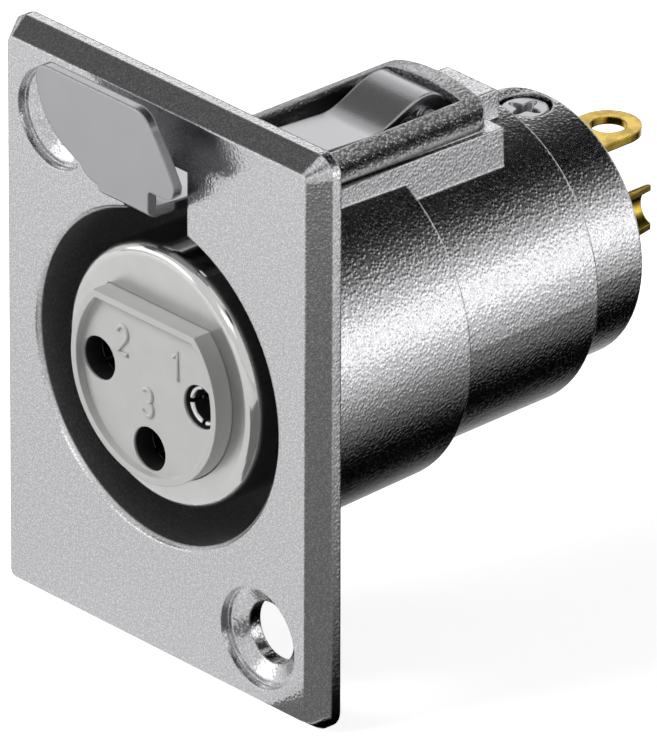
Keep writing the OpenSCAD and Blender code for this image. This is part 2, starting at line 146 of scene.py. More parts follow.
class Graph:
    """The node graph of a material or of the world, built from Python expressions."""

    def __init__(self, owner: Union[bpy.types.Material, bpy.types.World]) -> None:
        """Empty the owner's graph.

        Args:
            owner: The material or the world.
        """
        owner.use_nodes = True
        self.owner = owner
        self.tree = owner.node_tree
        self.tree.nodes.clear()

    @classmethod
    def of_material(cls, name: str) -> "Graph":
        """Return the empty graph of a new material.

        Args:
            name: The material's name.

        Returns:
            Its graph.
        """
        return cls(bpy.data.materials.new(name))

    def node(self, kind: str, settings: dict[str, Any], inputs: dict[Any, Value],
             output: Union[int, str] = 0) -> Wire:
        """Add a node.

        Args:
            kind: The node's type.
            settings: Attributes to set first; "stops" fills a ramp.
            inputs: A value or a link for each socket, by name or number.
            output: The output to return, by name or number.

        Returns:
            That output.
        """
        made = self.tree.nodes.new(kind)
        for name, value in settings.items():
            if name == "stops":
                self._fill_ramp(made.color_ramp, value)
            else:
                setattr(made, name, value)
        for name, value in inputs.items():
            if isinstance(value, Wire):
                self.tree.links.new(value.socket, made.inputs[name])
            elif isinstance(value, bpy.types.NodeSocket):
                self.tree.links.new(value, made.inputs[name])
            else:
                made.inputs[name].default_value = value
        return Wire(self, made.outputs[output])

    @staticmethod
    def _fill_ramp(ramp: bpy.types.ColorRamp, stops: Stops) -> None:
        """Set a grey ramp's stops.

        Args:
            ramp: The ramp.
            stops: Pairs of place and grey level.
        """
        while len(ramp.elements) < len(stops):
            ramp.elements.new(0.5)
        for element, (place, level) in zip(ramp.elements, stops):
            element.position = place
            element.color = (level, level, level, 1.0)

    def place(self) -> Wire:
        """Return the object coordinates, in metres."""
        return self.node("ShaderNodeTexCoord", {}, {}, "Object")

    def along(self, axis: str) -> Wire:
        """Return one object coordinate, in millimetres.

        Args:
            axis: "X", "Y" or "Z".

        Returns:
            The coordinate.
        """
        return self.node("ShaderNodeSeparateXYZ", {}, {0: self.place()}, axis) * (1.0 / MM)

    def from_axis(self) -> Wire:
        """Return the distance from the barrel's axis, in millimetres."""
        across = self.node("ShaderNodeVectorMath", {"operation": "MULTIPLY"},
                           {0: self.place(), 1: (1.0 / MM, 0.0, 1.0 / MM)})
        return self.node("ShaderNodeVectorMath", {"operation": "LENGTH"}, {0: across}, "Value")

    def step(self, value: Value, low: float, high: float, before: float = 0.0,
             after: float = 1.0) -> Wire:
        """Return a soft step.

        Args:
            value: The input.
            low: Where the step starts.
            high: Where it ends.
            before: The level below the step.
            after: The level above it.

        Returns:
            The level.
        """
        return self.node("ShaderNodeMapRange", {"interpolation_type": "SMOOTHSTEP"},
                         {"Value": value, "From Min": low, "From Max": high,
                          "To Min": before, "To Max": after})

    def noise(self, per_mm: float, detail: float,
              stretch: Point = (1.0, 1.0, 1.0)) -> Wire:
        """Return a noise of the object coordinates.

        Args:
            per_mm: How many cells fit in a millimetre.
            detail: The noise's detail.
            stretch: Scale along each axis.

        Returns:
            The noise's value, from 0 to 1.
        """
        mapped = self.node("ShaderNodeMapping", {"vector_type": "POINT"},
                           {"Vector": self.place(), "Scale": stretch})
        return self.node("ShaderNodeTexNoise", {"noise_dimensions": "3D"},
                         {"Vector": mapped, "Scale": per_mm / MM, "Detail": detail}, "Fac")

    def cells(self, per_mm: float, smoothness: float) -> Wire:
        """Return the distance to the nearest of many scattered points.

        Args:
            per_mm: How many points lie along a millimetre.
            smoothness: How far the cells flow together.

        Returns:
            The distance, as a share of a cell.
        """
        return self.node("ShaderNodeTexVoronoi", {"feature": "SMOOTH_F1"},
                         {"Vector": self.place(), "Scale": per_mm / MM,
                          "Smoothness": smoothness}, "Distance")

    def mix(self, mask: Value, first: Value, second: Value) -> Wire:
        """Return first where mask is 0 and second where it is 1.

        Args:
            mask: The mask.
            first: The first colour, with its alpha.
            second: The second colour, with its alpha.

        Returns:
            The mixed colour.
        """
        # Inputs 6 and 7 and output 2 are the node's colour sockets
        return self.node("ShaderNodeMix", {"data_type": "RGBA"},
                         {0: mask, 6: first, 7: second}, 2)

    def ramp(self, value: Value, stops: Stops) -> Wire:
        """Return value sent through a grey ramp.

        Args:
            value: The input.
            stops: Pairs of place and grey level.

        Returns:
            The ramp's grey level.
        """
        return self.node("ShaderNodeValToRGB", {"stops": stops}, {0: value})

    def tint(self, mask: Value, dark: tuple, light: tuple) -> Wire:
        """Return a colour between dark and light.

        Args:
            mask: 0 for dark and 1 for light.
            dark: The first colour.
            light: The second colour.

        Returns:
            The mixed colour.
        """
        return self.mix(mask, (*dark, 1.0), (*light, 1.0))

    def rounded(self, radius_mm: float) -> Wire:
        """Return a normal that rounds the sharp edges.

        Args:
            radius_mm: The radius of the rounding.

        Returns:
            The normal.
        """
        return self.node("ShaderNodeBevel", {"samples": BEVEL_SAMPLES}, {"Radius": radius_mm * MM})

    def bump(self, height: Value, strength: float, depth_mm: float, normal: Value) -> Wire:
        """Return a bumped normal.

        Args:
            height: The height map, from 0 to 1.
            strength: The bump's strength.
            depth_mm: The height of a full step.
            normal: The normal underneath.

        Returns:
            The normal.
        """
        return self.node("ShaderNodeBump", {},
                         {"Strength": strength, "Distance": depth_mm * MM,
                          "Height": height, "Normal": normal})

    def finish(self, color: Value, roughness: Value, normal: Value,
               metallic: float) -> bpy.types.Material:
        """Close the graph with a Principled shader.

        Args:
            color: The base colour.
            roughness: The roughness.
            normal: The normal.
            metallic: 1 for metal and 0 for plastic.

        Returns:
            The material.
        """
        shader = self.node("ShaderNodeBsdfPrincipled", {},
                           {"Base Color": color, "Roughness": roughness,
                            "Metallic": metallic, "Normal": normal})
        self.close(shader)
        return self.owner

    def seen_directly(self) -> Wire:
        """Return 1 for camera, glossy and transmission rays, and 0 for light."""
        rays = self.tree.nodes.new("ShaderNodeLightPath").outputs
        total = (Wire(self, rays["Is Camera Ray"]) + rays["Is Glossy Ray"]
                 + rays["Is Transmission Ray"])
        return total.clamp()

    def close(self, shader: Wire, end: str = "ShaderNodeOutputMaterial") -> None:
        """Link the shader to the graph's output.

        Args:
            shader: The shader.
            end: The type of the output node.
        """
        made = self.tree.nodes.new(end)
        self.tree.links.new(shader.socket, made.inputs["Surface"])


@dataclass(frozen=True)
class CastNickel:
    """Pebbled satin nickel on the die-cast shell.

    The bore is smooth and hazy, the flange's face is finely pebbled, and the barrel and the
    crown of the latch housing have the full pebble. Painted shade darkens the foot of the housing.
    """

    light: Point = (0.66, 0.66, 0.67)
    dark: Point = (0.43, 0.43, 0.44)
    # Painted shade: a near-black colour for the valley at the foot of the latch housing
    valley_shade: Point = (0.06, 0.06, 0.06)
    valley_shade_share: float = 0.95
    edge_mm: float = 0.17
    roughness: float = 0.14
    roughness_spread: float = 0.08
    bore_roughness: float = 0.22
    crown_roughness: float = 0.16
    pebbles_per_mm: float = 5.2
    pebble_flow: float = 0.7
    pebble_stops: Stops = ((0.10, 0.0), (0.60, 1.0))
    pebble_depth_mm: float = 0.026
    pebble_strength: float = 0.8
    pebble_weight: float = 0.72
    lumps_per_pebble: float = 0.8
    grains_per_pebble: float = 2.2
    lump_tint: float = 0.25
    tint_stops: Stops = ((0.46, 0.0), (0.62, 1.0))
    bore_share: float = 0.06
    face_share: float = 0.4
    crown_share: float = 1.2
    bore_wall_mm: Pair = (9.45, 9.55)
    bore_end_mm: Pair = (12.0, 13.0)
    flange_mm: Pair = (1.2, 1.7)
    behind_flange_mm: Pair = (1.9, 2.0)
    crown_mm: Pair = (10.5, 10.9)
    valley_foot_mm: Pair = (9.80, 9.90)
    valley_top_mm: Pair = (9.95, 10.55)
    valley_side_mm: Pair = (3.7, 4.2)
    valley_front_mm: Pair = (1.86, 1.96)

    def material(self) -> bpy.types.Material:
        """Return the material."""
        g = Graph.of_material("cast_nickel")
        pebble = 1.0 - g.ramp(g.cells(self.pebbles_per_mm, self.pebble_flow), self.pebble_stops)
        lumps = g.noise(self.pebbles_per_mm * self.lumps_per_pebble, detail=2.0)
        fine = g.noise(self.pebbles_per_mm * self.grains_per_pebble, detail=1.0)
        outside = g.step(g.from_axis(), *self.bore_wall_mm, before=self.bore_share)
        deep = g.step(g.along("Y"), *self.bore_end_mm)
        cast = g.step(g.along("Y"), *self.flange_mm, before=self.face_share)
        behind = g.step(g.along("Y"), *self.behind_flange_mm)
        crown = g.step(g.along("Z"), *self.crown_mm) * behind
        height = pebble * self.pebble_weight + lumps * (1.0 - self.pebble_weight)
        height = height * ((outside + deep).clamp() * cast)
        height = height * (crown * self.crown_share + 1.0)
        normal = g.bump(height, self.pebble_strength, self.pebble_depth_mm,
                        g.rounded(self.edge_mm))
        tone = g.ramp(lumps * self.lump_tint + fine * (1.0 - self.lump_tint), self.tint_stops)
        metal = g.tint(tone, self.dark, self.light)
        # Painted shade: the valley at the foot of the latch housing is painted near-black
        color = g.mix(self.valley(g), metal, (*self.valley_shade, 1.0))
        bore = g.step(g.from_axis(), *self.bore_wall_mm, before=self.bore_roughness, after=0.0)
        roughness = (self.roughness + fine * self.roughness_spread
                     + crown * self.crown_roughness + bore * (1.0 - deep)).clamp()
        return g.finish(color, roughness, normal, metallic=1.0)

    def valley(self, g: Graph) -> Wire:
        """Return the painted shade in the valley between the latch housing and its ledge.

        Args:
            g: The node graph.

        Returns:
            The mask, 0 outside the valley.
        """
        beside = g.step(abs(g.along("X")), *self.valley_side_mm)
        low = g.step(g.along("Z"), *self.valley_top_mm, before=1.0, after=0.0)
        raised = g.step(g.along("Z"), *self.valley_foot_mm)
        behind = g.step(g.along("Y"), *self.valley_front_mm)
        return beside * low * raised * behind * self.valley_shade_share


@dataclass(frozen=True)
class PolishedNickel:
    """Bright nickel of the sleeve, hazy on its flat face and bright on its lip."""

    color: Point = (0.60, 0.598, 0.592)
    shade: Point = (0.50, 0.498, 0.492)
    haze_per_mm: float = 0.6
    rings_per_mm: float = 9.0
    ring_stretch: Point = (0.15, 1.0, 0.15)
    ring_strength: float = 0.10
    ring_depth_mm: float = 0.004
    edge_mm: float = 0.08
    roughness: float = 0.08
    roughness_spread: float = 0.05
    face_roughness: float = 0.22
    lip_mm: Pair = (6.55, 6.95)

    def material(self) -> bpy.types.Material:
        """Return the material."""
        g = Graph.of_material("polished_nickel")
        haze = g.noise(self.haze_per_mm, detail=3.0)
        rings = g.noise(self.rings_per_mm, detail=1.0, stretch=self.ring_stretch)
        normal = g.bump(rings, self.ring_strength, self.ring_depth_mm, g.rounded(self.edge_mm))
        color = g.tint(haze, self.shade, self.color)
        face = g.step(g.from_axis(), *self.lip_mm, before=self.face_roughness, after=0.0)
        roughness = self.roughness + haze * self.roughness_spread + face
        return g.finish(color, roughness, normal, metallic=1.0)


@dataclass(frozen=True)
class SatinStrip:
    """Smooth satin nickel, with the arm behind the flange painted a little lighter than the plate in front
    of it, as painted light.
    """

    name: str = "lever_nickel"
    color: Point = (0.38, 0.38, 0.39)
    shade: Point = (0.34, 0.34, 0.35)
    # Painted light: the lighter tone of the arm behind the flange
    arm: Point = (0.41, 0.41, 0.42)
    arm_from_mm: Pair = (0.6, 1.6)
    grain_from_mm: Pair = (0.0, 1.5)
    plate_grain: float = 0.12
    grain_per_mm: float = 9.0
    grain_strength: float = 0.45
    grain_depth_mm: float = 0.010
    haze_per_mm: float = 0.35
    roughness: float = 0.22
    roughness_spread: float = 0.06
    edge_mm: float = 0.20

    def material(self) -> bpy.types.Material:
        """Return the material."""
        g = Graph.of_material(self.name)
        grain = g.noise(self.grain_per_mm, detail=2.0)
        haze = g.noise(self.haze_per_mm, detail=2.0)
        on_arm = g.step(g.along("Y"), *self.grain_from_mm, before=self.plate_grain)
        normal = g.bump(grain * on_arm, self.grain_strength, self.grain_depth_mm,
                        g.rounded(self.edge_mm))
        plate = g.tint(haze, self.shade, self.color)
        # Painted light: the arm behind the flange is given a lighter tone than the plate
        color = g.mix(g.step(g.along("Y"), *self.arm_from_mm), plate, (*self.arm, 1.0))
        roughness = self.roughness + grain * self.roughness_spread
        return g.finish(color, roughness, normal, metallic=1.0)


@dataclass(frozen=True)
class Moulding:
    """Plain moulded plastic, whose contact holes, where it has them, are painted black as painted shade."""

    name: str
    color: Point
    shade: Point
    hole_shade: Point = (0.012, 0.012, 0.012)
    holes_from_mm: Optional[float] = None
    hole_fade_mm: float = 0.15
    holes_within_mm: Pair = (5.24, 5.34)
    holes_below_mm: Pair = (3.6, 3.7)
    cloud_per_mm: float = 0.8
    skin_per_mm: float = 12.0
    skin_strength: float = 0.25
    skin_depth_mm: float = 0.008
    roughness: float = 0.42
    roughness_spread: float = 0.10
    edge_mm: float = 0.10

    def material(self) -> bpy.types.Material:
        """Return the material."""
        g = Graph.of_material(self.name)
        cloud = g.noise(self.cloud_per_mm, detail=3.0)
        skin = g.noise(self.skin_per_mm, detail=2.0)
        normal = g.bump(skin, self.skin_strength, self.skin_depth_mm, g.rounded(self.edge_mm))
        color = g.tint(cloud, self.shade, self.color)
        if self.holes_from_mm is not None:
            # Painted shade: the insides of the contact holes are painted near-black
            color = g.mix(self.in_holes(g, self.holes_from_mm), color, (*self.hole_shade, 1.0))
        roughness = self.roughness + skin * self.roughness_spread
        return g.finish(color, roughness, normal, metallic=0.0)

    def in_holes(self, g: Graph, start_mm: float) -> Wire:
        """Return 1 inside the contact holes, behind the nose's floor.

        Args:
            g: The node graph.
            start_mm: Where the holes start, along the barrel.

        Returns:
            The mask.
        """
        depth = g.step(g.along("Y"), start_mm, start_mm + self.hole_fade_mm)
        near = g.step(g.from_axis(), *self.holes_within_mm, before=1.0, after=0.0)
        low = g.step(g.along("Z"), *self.holes_below_mm, before=1.0, after=0.0)
        return depth * (near * low)


@dataclass(frozen=True)
class ContactPlate:
    """Gold-coloured plating, with a nickel-coloured mouth on the sockets."""

    name: str = "gold_plate"
    color: Point = (0.62, 0.43, 0.075)
    shade: Point = (0.36, 0.235, 0.028)
    mouth: Point = (0.62, 0.62, 0.62)
    mouth_end_mm: Pair = (15.0, 16.0)
    cloud_per_mm: float = 1.2
    cloud_stops: Stops = ((0.35, 0.0), (0.6, 1.0))
    skin_per_mm: float = 8.0
    skin_strength: float = 0.22
    skin_depth_mm: float = 0.008
    roughness: float = 0.16
    roughness_spread: float = 0.10
    edge_mm: float = 0.10

    def material(self) -> bpy.types.Material:
        """Return the material."""
        g = Graph.of_material(self.name)
        cloud = g.noise(self.cloud_per_mm, detail=3.0)
        skin = g.noise(self.skin_per_mm, detail=2.0)
        normal = g.bump(skin, self.skin_strength, self.skin_depth_mm, g.rounded(self.edge_mm))
        gold = g.tint(g.ramp(cloud, self.cloud_stops), self.shade, self.color)
        behind = g.step(g.along("Y"), *self.mouth_end_mm)
        color = g.mix(behind, (*self.mouth, 1.0), gold)
        roughness = self.roughness + skin * self.roughness_spread
        return g.finish(color, roughness, normal, metallic=1.0)


def dress(node: str, material: bpy.types.Material) -> None:
    """Give a CAD node its material.

    Args:
        node: The node's name.
        material: The material for every slot.
    """
    mesh = frame["nodes"][node].data
    mesh.materials.clear()
    mesh.materials.append(material)
    LOG.info("dressed %s with %s", node, material.name)


def add_mesh(name: str, mesh: bpy.types.Mesh, material: bpy.types.Material, body: Body) -> bpy.types.Object:
    """Link a finished mesh as a piece of the object.

    Args:
        name: The piece's name.
        mesh: Its mesh, in place.
        material: Its material.
        body: The body that it rides on.

    Returns:
        The piece.
    """
    mesh.materials.clear()
    mesh.materials.append(material)
    piece = bpy.data.objects.new(name, mesh)
    bpy.context.scene.collection.objects.link(piece)
    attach(piece, body.value)
    LOG.info("%s: %d faces", name, len(mesh.polygons))
    return piece


def level_at(x_mm: float, y_mm: float, z_mm: float) -> Matrix:
    """Return the placing of a card that lies level.

    Args:
        x_mm: Its centre's X.
        y_mm: Its centre's Y.
        z_mm: Its height.

    Returns:
        The world matrix.
    """
    return Matrix.Translation(Vector((x_mm, y_mm, z_mm)) * MM)


def aimed(azimuth: float, elevation: float, distance_mm: float) -> Matrix:
    """Return the placing of something that faces the object's middle.

    Args:
        azimuth: Its direction, in degrees from the front towards the right.
        elevation: Its height, in degrees.
        distance_mm: Its distance.

    Returns:
        The world matrix, with the local Z axis pointing away from the object.
    """
    a = math.radians(azimuth)
    e = math.radians(elevation)
    away = Vector((math.sin(a) * math.cos(e), -math.cos(a) * math.cos(e), math.sin(e)))
    centre = Vector(MIDDLE_MM) + away * distance_mm
    return Matrix.Translation(centre * MM) @ away.to_track_quat("Z", "Y").to_matrix().to_4x4()


@dataclass(frozen=True)
class Card:
    """A glowing or dark card that only reflections see.

    The stops are pairs of place across the width, along the card's local X axis, and share of
    its level.
    """

    name: str
    place: Matrix
    size_mm: Pair
    level: float
    stops: Stops = ((0.0, 1.0), (1.0, 1.0))


# The dark panel overhead that shades the top of the barrel and fades towards both sides
OVERHEAD_FLAG = Card("overhead_flag", level_at(170.0, 325.0, 300.0), (900.0, 390.0), 1.0,
                     ((0.0, 0.60), (0.09, 0.30), (0.22, 0.04), (0.42, 0.0), (0.52, 0.05),
                      (0.64, 0.22), (0.78, 0.57), (1.0, 1.0)))
# The dark panel at the left that shades the flange's top bevel
FRONT_FLAG = Card("front_flag", aimed(-80.0, 46.0, 300.0), (250.0, 230.0), 0.15)
# The dark floor cloth that shades the lower side of the barrel
LOW_FLAG = Card("low_flag", level_at(35.0, 81.3, -16.6), (120.0, 161.4), 1.0,
                ((0.10, 1.0), (0.17, 0.6), (0.22, 0.22), (0.25, 0.03), (0.27, 0.0),
                 (0.34, 0.0), (0.38, 0.14), (0.50, 0.42), (0.58, 0.72), (0.70, 1.0)))
# The grey floor cloth that shades the flange's right bevel
SIDE_FLAG = Card("side_flag", level_at(50.0, -21.2, -16.6), (84.0, 43.4), 0.24)
# The black strip low behind the object that darkens its far outlines
HORIZON_FLAG = Card("horizon_flag", aimed(-127.0, -1.0, 250.0), (240.0, 100.0), 0.02)
# Four glows: on the barrel's side, the level tops, the face's top edge and the round rims
SIDE_GLOW = Card("side_glow", aimed(127.4, 5.0, 150.0), (80.0, 58.0), 1.9)
BACK_GLOW = Card("back_glow", aimed(-133.0, 24.0, 300.0), (110.0, 84.0), 1.5)
EDGE_GLOW = Card("edge_glow", aimed(-43.7, 17.0, 300.0), (220.0, 80.0), 2.6)
FRONT_GLOW = Card("front_glow", aimed(22.0, 32.0, 300.0), (110.0, 80.0), 2.4)
# The small dark card that shades the corner between those two bevels
CORNER_FLAG = Card("corner_flag", aimed(43.0, 46.0, 300.0), (70.0, 80.0), 0.03)
CARDS = (OVERHEAD_FLAG, FRONT_FLAG, LOW_FLAG, SIDE_FLAG, HORIZON_FLAG, SIDE_GLOW, BACK_GLOW,
         EDGE_GLOW, FRONT_GLOW, CORNER_FLAG)


@dataclass(frozen=True)
class Studio:
    """Floor, backdrop, lamp, reflector cards and camera."""

    azimuth_deg: float = 47.46
    elevation_deg: float = 26.47
    roll_deg: float = -0.11
    distance_mm: float = 1000.0
    pixels_per_mm: float = 18.997
    shift_right_mm: float = 9.089
    shift_up_mm: float = 0.448
    frame_px: tuple[int, int] = (657, 740)
    sensor_mm: float = 36.0
    clip_m: Pair = (0.05, 20.0)
    floor_half_m: float = 3.0
    floor_z_mm: float = -16.85
    floor_albedo: float = 0.9
    floor_glow: float = 0.37
    floor_seen_glow: float = 0.78
    sky_level: float = 0.20
    key_from_deg: Pair = (-35.0, 38.0)
    key_distance_mm: float = 600.0
    key_side_mm: float = 350.0
    key_watts: float = 3.0

    def _axes(self) -> tuple[Vector, Vector, Vector]:
        """Return the camera's right, up and backward directions."""
        a = math.radians(self.azimuth_deg)
        e = math.radians(self.elevation_deg)
        level = Vector((math.cos(a), math.sin(a), 0.0))
        back = Vector((math.sin(a) * math.cos(e), -math.cos(a) * math.cos(e), math.sin(e)))
        upright = back.cross(level)
        c, s = math.cos(math.radians(self.roll_deg)), math.sin(math.radians(self.roll_deg))
        return level * c - upright * s, level * s + upright * c, back

    def add_camera(self) -> None:
        """Put the camera at the photograph's angle."""
        right, up, back = self._axes()
        data = bpy.data.cameras.new("camera")
        data.sensor_width = self.sensor_mm
        focal_px = self.pixels_per_mm * self.distance_mm
        data.lens = focal_px * self.sensor_mm / max(self.frame_px)
        data.clip_start, data.clip_end = self.clip_m
        camera = bpy.data.objects.new("camera", data)
        place = right * self.shift_right_mm + up * self.shift_up_mm + back * self.distance_mm
        turn = Matrix((right, up, back)).transposed().to_4x4()
        camera.matrix_world = Matrix.Translation(place * MM) @ turn
        bpy.context.scene.collection.objects.link(camera)
        bpy.context.scene.camera = camera

    def add_world(self) -> None:
        """Make the world white where it is seen, and softer as a light."""
        world = bpy.data.worlds.new("studio")
        g = Graph(world)
        strength = g.seen_directly() * (1.0 - self.sky_level) + self.sky_level
        sky = g.node("ShaderNodeBackground", {}, {"Color": WHITE, "Strength": strength})
        g.close(sky, "ShaderNodeOutputWorld")
        bpy.context.scene.world = world

    def add_floor(self) -> None:
        """Lay a pale floor under the object, with a glow that whitens what the camera sees."""
        half = self.floor_half_m
        z = self.floor_z_mm * MM
        mesh = bpy.data.meshes.new("floor")
        corners = [(-half, -half, z), (half, -half, z), (half, half, z), (-half, half, z)]
        mesh.from_pydata(corners, [], [(0, 1, 2, 3)])
        g = Graph.of_material("floor_white")
        pale = self.floor_albedo
        matt = g.node("ShaderNodeBsdfDiffuse", {}, {"Color": (pale, pale, pale, 1.0)})
        camera = g.node("ShaderNodeLightPath", {}, {}, "Is Camera Ray")
        strength = camera * (self.floor_seen_glow - self.floor_glow) + self.floor_glow
        glow = g.node("ShaderNodeEmission", {}, {"Color": WHITE, "Strength": strength})
        both = g.node("ShaderNodeAddShader", {}, {0: matt, 1: glow})
        g.close(g.node("ShaderNodeMixShader", {}, {0: g.seen_directly(), 1: matt, 2: both}))
        mesh.materials.append(g.owner)
        floor = bpy.data.objects.new("floor", mesh)
        bpy.context.scene.collection.objects.link(floor)

    def add_key(self) -> None:
        """Aim one soft square lamp at the object, unseen by reflections."""
        data = bpy.data.lights.new("key", "AREA")
        data.shape = "SQUARE"
        data.size = self.key_side_mm * MM
        data.energy = self.key_watts
        lamp = bpy.data.objects.new("key", data)
        lamp.matrix_world = aimed(*self.key_from_deg, self.key_distance_mm)
        lamp.visible_glossy = False
        bpy.context.scene.collection.objects.link(lamp)

    def add_card(self, card: Card) -> None:
        """Stand a card where only the metal's reflections see it.

        Args:
            card: The card.
        """
        w, h = (side * MM / 2 for side in card.size_mm)
        mesh = bpy.data.meshes.new(card.name)
        mesh.from_pydata([(-w, -h, 0), (w, -h, 0), (w, h, 0), (-w, h, 0)], [], [(0, 1, 2, 3)])
        g = Graph.of_material(card.name)
        shade = g.ramp(g.along("X") * (1.0 / card.size_mm[0]) + 0.5, card.stops)
        g.close(g.node("ShaderNodeEmission", {}, {"Color": shade, "Strength": card.level}))
        mesh.materials.append(g.owner)
        stand = bpy.data.objects.new(card.name, mesh)
        stand.matrix_world = card.place
        bpy.context.scene.collection.objects.link(stand)
        stand.visible_camera = False
        stand.visible_diffuse = False
        stand.visible_shadow = False
        stand.visible_transmission = False

    def build(self) -> None:
        """Make the whole studio."""
        self.add_camera()
        self.add_world()
        self.add_floor()
        self.add_key()
        for card in CARDS:
            self.add_card(card)


class NodeTree:
    """A geometry node tree with named inputs."""

    def __init__(self, name: str, inputs: Sequence[tuple[str, str]]) -> None:
        """Make a tree that takes and gives geometry.

        Args:
            name: The tree's name.
            inputs: Pairs of name and socket type, after the geometry.
        """
        self.tree = bpy.data.node_groups.new(name, "GeometryNodeTree")
        face = self.tree.interface
        face.new_socket("Geometry", in_out="INPUT", socket_type="NodeSocketGeometry")
        self.ids = {label: face.new_socket(label, in_out="INPUT", socket_type=kind).identifier
                    for label, kind in inputs}
        face.new_socket("Geometry", in_out="OUTPUT", socket_type="NodeSocketGeometry")
        self.start = self.tree.nodes.new("NodeGroupInput").outputs

    def node(self, kind: str, settings: dict[str, Any], inputs: dict[Any, Any],
             output: Union[int, str] = 0) -> bpy.types.NodeSocket:
        """Add a node.

        Args:
            kind: The node's type.
            settings: Attributes to set first.
            inputs: A value or a link for each socket, by name or number.
            output: The output to return, by name or number.

        Returns:
            That output.
        """
        made = self.tree.nodes.new(kind)
        for name, value in settings.items():
            setattr(made, name, value)
        for name, value in inputs.items():
            if isinstance(value, bpy.types.NodeSocket):
                self.tree.links.new(value, made.inputs[name])
            else:
                made.inputs[name].default_value = value
        return made.outputs[output]

    def close(self, geometry: bpy.types.NodeSocket) -> None:
        """Make the instances real, set the material and end the tree.

        Args:
            geometry: The geometry so far.
        """
        real = self.node("GeometryNodeRealizeInstances", {}, {0: geometry})
        dressed = self.node("GeometryNodeSetMaterial", {},
                            {"Geometry": real, "Material": self.start["Material"]})
        end = self.tree.nodes.new("NodeGroupOutput")
        self.tree.links.new(dressed, end.inputs[0])

    def run(self, base: bpy.types.Mesh, values: dict[str, Any]) -> bpy.types.Mesh:
        """Run the tree on a mesh.

        Args:
            base: The mesh that it starts from.
            values: A value for each named input.

        Returns:
            The result as a plain mesh.
        """
        carrier = bpy.data.objects.new(self.tree.name, base)
        bpy.context.scene.collection.objects.link(carrier)
        modifier = carrier.modifiers.new(self.tree.name, "NODES")
        modifier.node_group = self.tree
        for label, value in values.items():
            modifier[self.ids[label]] = value
        bpy.context.view_layer.update()
        shape = carrier.evaluated_get(bpy.context.evaluated_depsgraph_get())
        mesh = bpy.data.meshes.new_from_object(shape)
        carrier.modifiers.remove(modifier)
        bpy.data.objects.remove(carrier)
        return mesh


@dataclass(frozen=True)
class Nose:
    """The front insulator, with its nose standing out as far as the real one does."""

    reach_mm: float = 0.30
    behind_mm: float = 0.2
    weld_mm: float = 0.002
    edge_mm: float = 0.09
    edge_steps: int = 3
    flat_deg: float = 1.0
    bevel_from_deg: float = 55.0

    def build(self, material: bpy.types.Material) -> None:
        """Make the insulator in the place of its plain solid.

        Args:
            material: The insulator's material.
        """
        shape = bmesh.new()
        shape.from_mesh(frame["nodes"]["front_insulator"].data)
        bmesh.ops.remove_doubles(shape, verts=shape.verts, dist=self.weld_mm * MM)
        for vert in shape.verts:
            if vert.co.y < self.behind_mm * MM:
                vert.co.y -= self.reach_mm * MM
        bmesh.ops.dissolve_limit(shape, angle_limit=math.radians(self.flat_deg),
                                 verts=shape.verts, edges=shape.edges)
        least = math.radians(self.bevel_from_deg)
        sharp = [edge for edge in shape.edges
                 if edge.is_manifold and edge.calc_face_angle() > least
                 and all(vert.co.y < self.behind_mm * MM for vert in edge.verts)]
        bmesh.ops.bevel(shape, geom=sharp, offset=self.edge_mm * MM, segments=self.edge_steps,
                        profile=0.5, affect="EDGES", clamp_overlap=True)
        bmesh.ops.recalc_face_normals(shape, faces=shape.faces)
        mesh = bpy.data.meshes.new("nose_moulding")
        shape.to_mesh(mesh)
        shape.free()
        nose = add_mesh("nose_moulding", mesh, material, Body.HOUSING)
        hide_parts("front_insulator")


